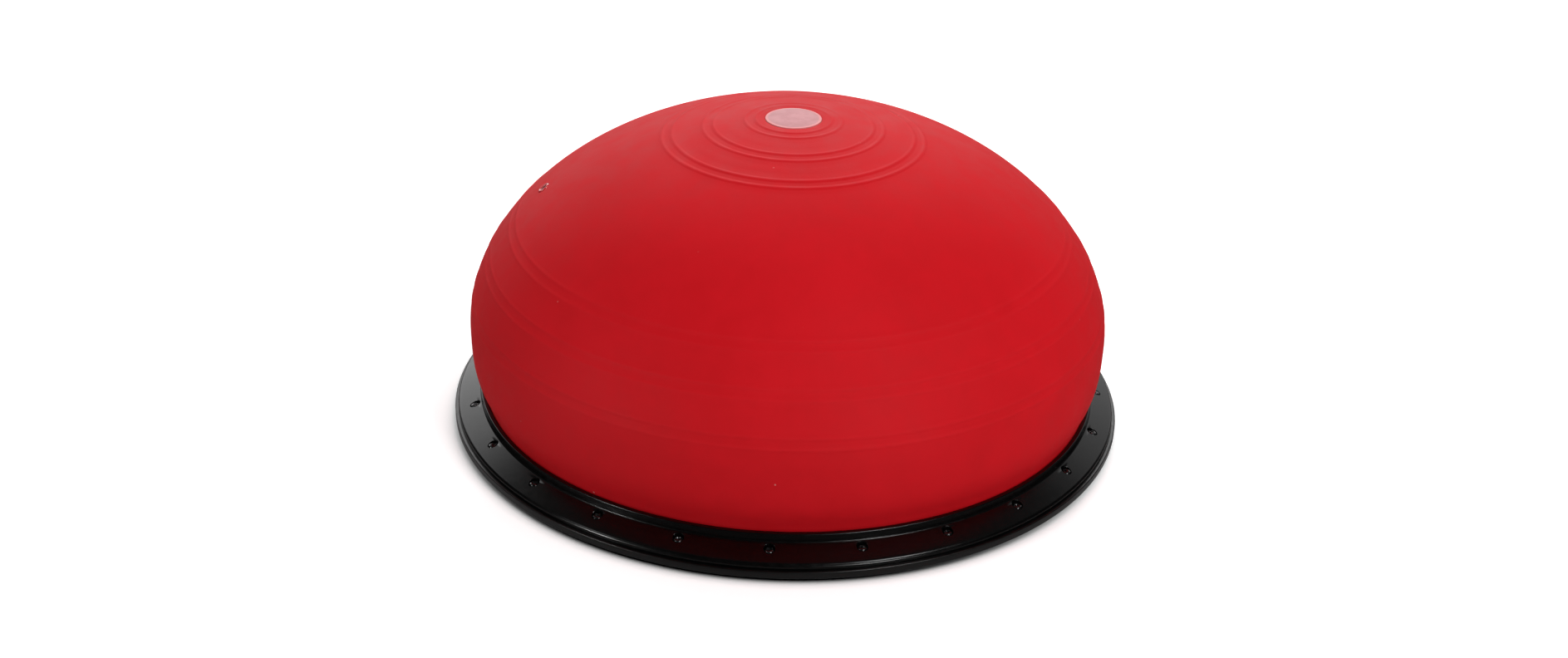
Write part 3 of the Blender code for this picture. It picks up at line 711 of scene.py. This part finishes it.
def build_valve(finish):
    """The valve's outline carried round its own axis, which stands square to the skin."""
    outline = [
        (0.0, -VALVE_MOUTH_DEPTH),
        (NEEDLE_RADIUS, -VALVE_MOUTH_DEPTH),
        (NEEDLE_RADIUS, -VALVE_MOUTH_DEPTH / 2),
        (VALVE_THROAT, -VALVE_THROAT_DEPTH),
        (VALVE_MOUTH, 0.0),
        *arc((VALVE_CREST, 0.0), VALVE_CREST_ROUND, 165, 5, 10),
        (VALVE_RIM, -VALVE_RIM_SUNK),
        (VALVE_STEM, -VALVE_RIM_SUNK),
        (VALVE_STEM, -VALVE_STEM_LENGTH + VALVE_STEM / 3),
        (VALVE_STEM * 2 / 3, -VALVE_STEM_LENGTH),
        (0.0, -VALVE_STEM_LENGTH),
    ]
    rows = round_valve(outline, full_turn(VALVE_COLUMNS))
    made = make_piece("valve", [band(rows)], finish, 40.0)
    mark_points(made, "mouth", in_mouth)
    return made


valve = build_valve(valve_rubber_finish())
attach(valve, "valve")
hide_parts("inflation_valve")

# The clamp ring: one moulding of glossy black plastic. Its sloping flange is screwed down on the
# base plate through 24 counterbores, and its collar stands round the ball's neck.
RING_RADIUS, RING_UNDERSIDE = 257.418 * MM, 6.9 * MM
RING_EDGE_HEIGHT, RING_EDGE_ROUND = 1.5 * MM, 3.0 * MM
COLLAR_INNER, COLLAR_OUTER = 235.718 * MM, 239.718 * MM
COLLAR_ROOT, COLLAR_ROOT_RADIUS = 17.0 * MM, 241.018 * MM
COLLAR_ROOT_FILLET, COLLAR_EDGE_ROUND, COLLAR_LEAD_IN = 1.2 * MM, 0.8 * MM, 0.4 * MM
SCREWS, FIRST_SCREW, SCREW_CIRCLE = 24, math.radians(13.1), 244.818 * MM
COUNTERBORE, COUNTERBORE_FLOOR, SHANK_HOLE = 4.0 * MM, 12.4 * MM, 2.3 * MM
COUNTERBORE_LIP, COUNTERBORE_CORNER = 0.15 * MM, 0.3 * MM
RING_SLOPE_DEGREES = 21.83

# Points along each side of a screw's sector, and angles round its hole from the corner on.
SIDE = 14
HOLE_TURN = np.linspace(np.pi / 4, np.pi / 4 - 2 * np.pi, 4 * SIDE, endpoint=False)


def flange_height(radius):
    """Height of the ring's sloping face over a radius: a cone that meets the collar's root."""
    rise = (COLLAR_ROOT_RADIUS - radius) * math.tan(math.radians(RING_SLOPE_DEGREES))
    return COLLAR_ROOT + rise


def level(height):
    """The height over a radius of a flat face: the same everywhere."""
    return lambda radius: np.full_like(radius, height)


def sector_edge(inner, outer):
    """Points round a sector between two radii, one screw wide, as (radius, angle) pairs."""
    share = np.linspace(0, 1, SIDE, endpoint=False)
    half = np.pi / SCREWS
    reach = outer - inner
    return np.concatenate((
        np.column_stack((np.full(SIDE, outer), half - 2 * half * share)),
        np.column_stack((outer - reach * share, np.full(SIDE, -half))),
        np.column_stack((np.full(SIDE, inner), -half + 2 * half * share)),
        np.column_stack((inner + reach * share, np.full(SIDE, half))),
    ))


def round_screw(radius, height):
    """A circle of points round the first screw's axis, before it is turned to its place."""
    return points_at(
        SCREW_CIRCLE + radius * np.cos(HOLE_TURN), radius * np.sin(HOLE_TURN), height
    )


def at_every_screw(rows):
    """A sector's rings of points repeated at every screw, with the faces of all of them."""
    angle = (FIRST_SCREW + 2 * np.pi * np.arange(SCREWS) / SCREWS)[:, None, None]
    cos, sin = np.cos(angle), np.sin(angle)
    x, y, z = np.moveaxis(rows, -1, 0)
    points = points_at(x * cos - y * sin, x * sin + y * cos, z)
    starts = np.arange(SCREWS)[:, None, None] * rows.shape[0] * rows.shape[1]
    return points, (grid_faces(*rows.shape[:2]) + starts).reshape(-1, 4)


def sector_rings(inner, outer, hole_radius, height, shares):
    """Rings from a sector's edge in to a hole round the screw, laid on a face.

    The face is given by its height over a radius.
    """
    square = points_round(*sector_edge(inner, outer).T, 0.0)
    flat = loop_patch(square, round_screw(hole_radius, 0.0), shares)
    flat[..., 2] = height(np.hypot(flat[..., 0], flat[..., 1]))
    return flat


def turned_to_sectors(outline):
    """An outline carried round the Z axis, with columns where the sectors' edges have theirs."""
    spin = np.array(Matrix.Rotation(FIRST_SCREW + np.pi / SCREWS, 3, "Z"))
    return band(turned(outline, SCREWS * SIDE) @ spin.T)


def black_plastic_finish(name, base, rough):
    """Glossy moulded black plastic with faint flow marks, fine scuffs and settled dust."""
    made, wire = new_finish(name)
    place = wire.node("ShaderNodeTexCoord", output="Object")
    flow = noise(wire, place, 14.0, 3.0)
    scuff = noise(wire, place, 160.0, 4.0, 0.65)
    grain = noise(wire, place, 1100.0)
    tone = (flow * 0.5 + scuff * 0.5).step(0.35, 0.7)
    shaded(wire, {
        "Base Color": tone.tint([base * 0.8] * 3, [base * 1.5] * 3),
        "Roughness": scuff.step(0.3, 0.75).blend(rough, rough + 0.06),
        "IOR": 1.5,
        "Specular IOR Level": 0.3,
        "Normal": bumped(wire, grain, 0.004 * MM, 0.5),
    })
    return made


def build_clamp_ring(finish):
    """Flange with its counterbores, underside, collar and the hollow over the ball's foot.

    Each sector is one set of rings: from its edge on the top face in to the counterbore, down
    it and through the shank hole, and out to its edge on the underside. The rest is turned.
    """
    slope = math.radians(RING_SLOPE_DEGREES)
    edge_middle = (RING_RADIUS - RING_EDGE_ROUND, RING_UNDERSIDE + RING_EDGE_HEIGHT)
    outer = edge_middle[0] + RING_EDGE_ROUND * math.sin(slope)
    inner = COLLAR_OUTER + COLLAR_ROOT_FILLET * (1 - math.sin(slope))
    groove = FOOT_OUTER + GAP
    mouth = COUNTERBORE + COUNTERBORE_LIP
    top = sector_rings(inner, outer, mouth, flange_height, np.linspace(0, 1, 6))
    wall_top = round_screw(COUNTERBORE, top[-1, :, 2] - COUNTERBORE_LIP)
    wall_foot = round_screw(COUNTERBORE, COUNTERBORE_FLOOR + COUNTERBORE_CORNER)
    floor = [
        round_screw(COUNTERBORE - COUNTERBORE_CORNER, COUNTERBORE_FLOOR),
        round_screw(SHANK_HOLE, COUNTERBORE_FLOOR),
        round_screw(SHANK_HOLE, RING_UNDERSIDE),
    ]
    below = sector_rings(groove, RING_RADIUS, SHANK_HOLE, level(RING_UNDERSIDE), (1, 0.5, 0))
    flange = at_every_screw(np.concatenate((
        top, loop_patch(wall_top, wall_foot, (0, 0.5, 1)), floor, below[1:]
    )))
    lip_z = LIP - COLLAR_EDGE_ROUND
    lip_inner = float(np.interp(-lip_z, -skin[:, 1], skin[:, 0])) + GAP
    root_radius = COLLAR_OUTER + COLLAR_ROOT_FILLET
    root = (root_radius, flange_height(root_radius) + COLLAR_ROOT_FILLET / math.cos(slope))
    collar = [
        (lip_inner, lip_z - COLLAR_LEAD_IN),
        *arc((lip_inner + COLLAR_EDGE_ROUND, lip_z), COLLAR_EDGE_ROUND, 180, 90, 5),
        *arc((COLLAR_OUTER - COLLAR_EDGE_ROUND, lip_z), COLLAR_EDGE_ROUND, 90, 0, 6),
        *arc(root, COLLAR_ROOT_FILLET, 180, 270 - RING_SLOPE_DEGREES, 6),
    ]
    hollow = [
        (groove, RING_UNDERSIDE),
        (groove, FOOT_TOP + GAP - FOOT_ROUND / 2),
        (groove - FOOT_ROUND / 2, FOOT_TOP + GAP),
        (COLLAR_INNER + FOOT_FILLET, FOOT_TOP + GAP),
        (COLLAR_INNER, FOOT_TOP + GAP + FOOT_FILLET),
        (COLLAR_INNER, NECK_TOP),
        (lip_inner, lip_z - COLLAR_LEAD_IN),
    ]
    side = [
        *arc(edge_middle, RING_EDGE_ROUND, 90 - RING_SLOPE_DEGREES, 0, 10),
        (RING_RADIUS, RING_UNDERSIDE),
    ]
    patches = [flange, *map(turned_to_sectors, (collar, hollow, side))]
    return make_piece("clamp_ring_flange", patches, finish, 32.0)


ring = build_clamp_ring(black_plastic_finish("black_plastic", 0.0008, 0.20))
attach(ring, "base")
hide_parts("clamp_ring")

# The screws: 24 pan heads of blackened steel with a cross recess. Each is driven through the
# ring into the base plate, and its head lies down in its counterbore.
HEAD_RADIUS, HEAD_HEIGHT, HEAD_SIDE, HEAD_POWER = 3.5 * MM, 2.5 * MM, 1.0 * MM, 2.6
HEAD_RINGS = np.array((*np.linspace(0, 2.3, 12), 2.6, 2.95, 3.2, 3.38, 3.48, 3.5)) * MM
SHANK_RADIUS, SHANK_LENGTH, POINT_LENGTH = 2.0 * MM, 10.2 * MM, 1.8 * MM
CROSS_REACH, CROSS_HALF_WIDTH, CROSS_DEPTH = 2.0 * MM, 0.5 * MM, 1.3 * MM
CROSS_SIDE_RUN, CROSS_END_RUN = 0.15 * MM, 1.2 * MM
SCREW_COLUMNS, TWIST_EACH = 32, 2.4
STEEL, WORN_STEEL = (0.002, 0.002, 0.002), (0.010, 0.010, 0.011)


def black_steel_finish():
    """Blackened steel, glossy, a little worn and greyer in spots."""
    made, wire = new_finish("black_steel")
    place = wire.node("ShaderNodeTexCoord", output="Object")
    wear = noise(wire, place, 600.0, 3.0, 0.6)
    shaded(wire, {
        "Base Color": wear.step(0.45, 0.75).tint(STEEL, WORN_STEEL),
        "Roughness": wear.blend(0.14, 0.26),
        "IOR": 1.6,
        "Normal": bumped(wire, wear, 0.03 * MM, 0.3),
    })
    return made


def screw_rows(angle, twist):
    """Rows of points down a screw: head, then shank and point, all at its place on the ring.

    The head's top is a low dome, whose height over its side falls off as a superellipse. A
    cross is sunk in it where a point is near either of two lines through the middle: the
    depth fades out at the lines' ends and sides.
    """
    turn = full_turn(SCREW_COLUMNS)
    share = np.minimum(HEAD_RINGS / HEAD_RADIUS, 1.0)
    dome = HEAD_SIDE + (HEAD_HEIGHT - HEAD_SIDE) * np.sqrt(1 - share ** HEAD_POWER)
    head = points_round(HEAD_RINGS[:, None], turn, dome[:, None])
    off_x, off_y = abs(head[..., 0]), abs(head[..., 1])
    sunk = np.clip((CROSS_HALF_WIDTH - np.minimum(off_x, off_y)) / CROSS_SIDE_RUN, 0, 1)
    sunk *= np.clip((CROSS_REACH - np.maximum(off_x, off_y)) / CROSS_END_RUN, 0, 1)
    head[..., 2] -= CROSS_DEPTH * sunk
    shank = turned([
        (HEAD_RADIUS, 0.0),
        (SHANK_RADIUS, 0.0),
        (SHANK_RADIUS, POINT_LENGTH - SHANK_LENGTH),
        (0.0, -SHANK_LENGTH),
    ], SCREW_COLUMNS)
    spin = np.array(Matrix.Rotation(angle + twist, 3, "Z"))
    place = points_round(SCREW_CIRCLE, angle, COUNTERBORE_FLOOR + GAP)
    return np.concatenate((head, shank)) @ spin.T + place


black_steel = black_steel_finish()
for number in range(SCREWS):
    angle = FIRST_SCREW + 2 * math.pi * number / SCREWS
    name = f"clamp_screw_{number + 1:02d}"
    rows = screw_rows(angle, TWIST_EACH * number)
    screw = make_piece(name + "_head", [band(rows)], black_steel, 40.0)
    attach(screw, "base")
    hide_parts(name)

# The base plate: round black plastic with a groove for the ball's foot, a groove for the grip
# ring and a web of ribs below. The screws bite into blind holes in it.
BASE_RADIUS, BASE_UNDERSIDE, BASE_TOP = 260.018 * MM, 1.0 * MM, 6.6 * MM
BASE_EDGE_ROUND = 0.7 * MM
GROOVE_FLOOR = 4.5 * MM
GRIP_INNER, GRIP_OUTER, GRIP_HEIGHT = 250.518 * MM, 257.018 * MM, 2.1 * MM
RIBS, RIB_WIDTH, RIB_DEPTH, RIB_DRAFT = 12, 3.0 * MM, 3.0 * MM, 0.25 * MM
HUB_RADIUS, RIB_END = 28.0 * MM, 224.018 * MM
PILOT_RADIUS, PILOT_FLOOR = 2.3 * MM, 2.2 * MM
POCKET_COLUMNS = 13


def rib_web():
    """The underside inside the grip ring: pockets between straight spokes and round ribs.

    Its rows are radii and its columns are shares of the way between two spokes, whose sides
    stay parallel, so a column's angle changes with its radius: it is the arcsine of half the
    rib's width over the radius. Close to the middle it stops at a share of half a pocket.
    """
    edges = np.linspace(HUB_RADIUS, RIB_END, 4)
    radius, deep = [0.0, HUB_RADIUS * 0.5], [0.0, 0.0]
    for inner, outer in zip(edges, edges[1:]):
        inner, outer = inner + RIB_WIDTH / 2, outer - RIB_WIDTH / 2
        radius += [inner, inner + RIB_DRAFT, (inner + outer) / 2, outer - RIB_DRAFT, outer]
        deep += [0.0, 1.0, 1.0, 1.0, 0.0]
    radius.append(GRIP_INNER - GAP)
    deep.append(0.0)
    radius, deep = np.array(radius)[:, None], np.array(deep)[:, None]
    half = np.pi / RIBS
    off_zero = np.maximum(radius, 1e-6)
    side = np.arcsin(np.minimum(RIB_WIDTH / 2 / off_zero, np.sin(half) * 0.5))
    inside = np.arcsin(np.minimum((RIB_WIDTH / 2 + RIB_DRAFT) / off_zero, np.sin(half) * 0.9))
    share = np.linspace(-1, 1, POCKET_COLUMNS)
    angle = np.concatenate((
        np.full_like(side, -half), side - half, (half - inside) * share, half - side
    ), axis=1)
    mask = np.concatenate(([0.0, 0.0], np.ones(POCKET_COLUMNS), [0.0]))
    turns = angle[None] + (np.arange(RIBS) * 2 + 1)[:, None, None] * half
    turns = np.moveaxis(turns, 0, 1).reshape(len(radius), -1)
    depth = np.tile(mask, RIBS) * deep
    return points_round(radius, turns, BASE_UNDERSIDE + RIB_DEPTH * depth)


def build_base_plate(finish):
    """The plate: ribs below, grooves, rounded rim, and blind holes for the screws on top."""
    web = rib_web()
    web_angles = np.arctan2(web[-1, :, 1], web[-1, :, 0])
    grip_inner, grip_outer, ceiling = GRIP_INNER - GAP, GRIP_OUTER + GAP, GRIP_HEIGHT + GAP
    grip_groove = points_round(
        np.array((grip_inner, grip_outer, grip_outer))[:, None],
        web_angles,
        np.array((ceiling, ceiling, BASE_UNDERSIDE))[:, None],
    )
    outer, inner = BASE_RADIUS - BASE_EDGE_ROUND, FOOT_OUTER + GAP
    top = sector_rings(inner, outer, PILOT_RADIUS, level(BASE_TOP), (0, 0.4, 0.8, 1))
    holes = at_every_screw(np.concatenate((
        top, [round_screw(PILOT_RADIUS, PILOT_FLOOR), round_screw(0.0, PILOT_FLOOR)]
    )))
    rim = [
        *arc((outer, BASE_TOP - BASE_EDGE_ROUND), BASE_EDGE_ROUND, 90, 0, 6),
        *arc((outer, BASE_UNDERSIDE + BASE_EDGE_ROUND), BASE_EDGE_ROUND, 0, -90, 6),
    ]
    middle = [
        (0.0, BASE_TOP),
        (FOOT_INNER - GAP, BASE_TOP),
        (FOOT_INNER - GAP, GROOVE_FLOOR),
        (inner, GROOVE_FLOOR),
        (inner, BASE_TOP),
    ]
    patches = [holes, turned_to_sectors(rim), turned_to_sectors(middle), band(web, grip_groove)]
    return make_piece("base_disc", patches, finish, 32.0)


plate = build_base_plate(black_plastic_finish("base_plastic", 0.0010, 0.28))
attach(plate, "base")
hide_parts("base_plate")

# The grip ring: black rubber, pressed into the groove below the base plate. The whole ball
# stands on it, and shallow treads in its underside keep it from slipping.
GRIP_ROUND, TREAD_DEPTH = 0.5 * MM, 0.35 * MM
GRIP_POINTS, TREAD_POINTS = 12, [3, 4, 7, 8]
GRIP_BLACK, GRIP_DUST = (0.017, 0.017, 0.017), (0.055, 0.052, 0.050)


def grip_rubber_finish():
    """Matt black rubber, greyed by dust."""
    made, wire = new_finish("grip_rubber")
    place = wire.node("ShaderNodeTexCoord", output="Object")
    dust = noise(wire, place, 220.0, 3.0, 0.6)
    shaded(wire, {
        "Base Color": dust.step(0.4, 0.8).tint(GRIP_BLACK, GRIP_DUST),
        "Roughness": dust.blend(0.78, 0.92),
        "IOR": 1.5,
        "Normal": bumped(wire, dust, 0.1 * MM, 0.5),
    })
    return made


def build_grip_ring(finish):
    """A flat ring, rounded at its lower corners, with two treads cut round its underside."""
    across = np.linspace(GRIP_OUTER - GRIP_ROUND, GRIP_INNER + GRIP_ROUND, GRIP_POINTS)
    tread = np.zeros(GRIP_POINTS)
    tread[TREAD_POINTS] = TREAD_DEPTH
    outline = [
        (GRIP_INNER, GRIP_HEIGHT),
        (GRIP_OUTER, GRIP_HEIGHT),
        *arc((GRIP_OUTER - GRIP_ROUND, GRIP_ROUND), GRIP_ROUND, 0, -80, 3),
        *zip(across, tread),
        *arc((GRIP_INNER + GRIP_ROUND, GRIP_ROUND), GRIP_ROUND, 260, 180, 3),
    ]
    return lathe("grip_tread", outline, 192, finish)


grip = build_grip_ring(grip_rubber_finish())
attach(grip, "base")
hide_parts("grip_ring")
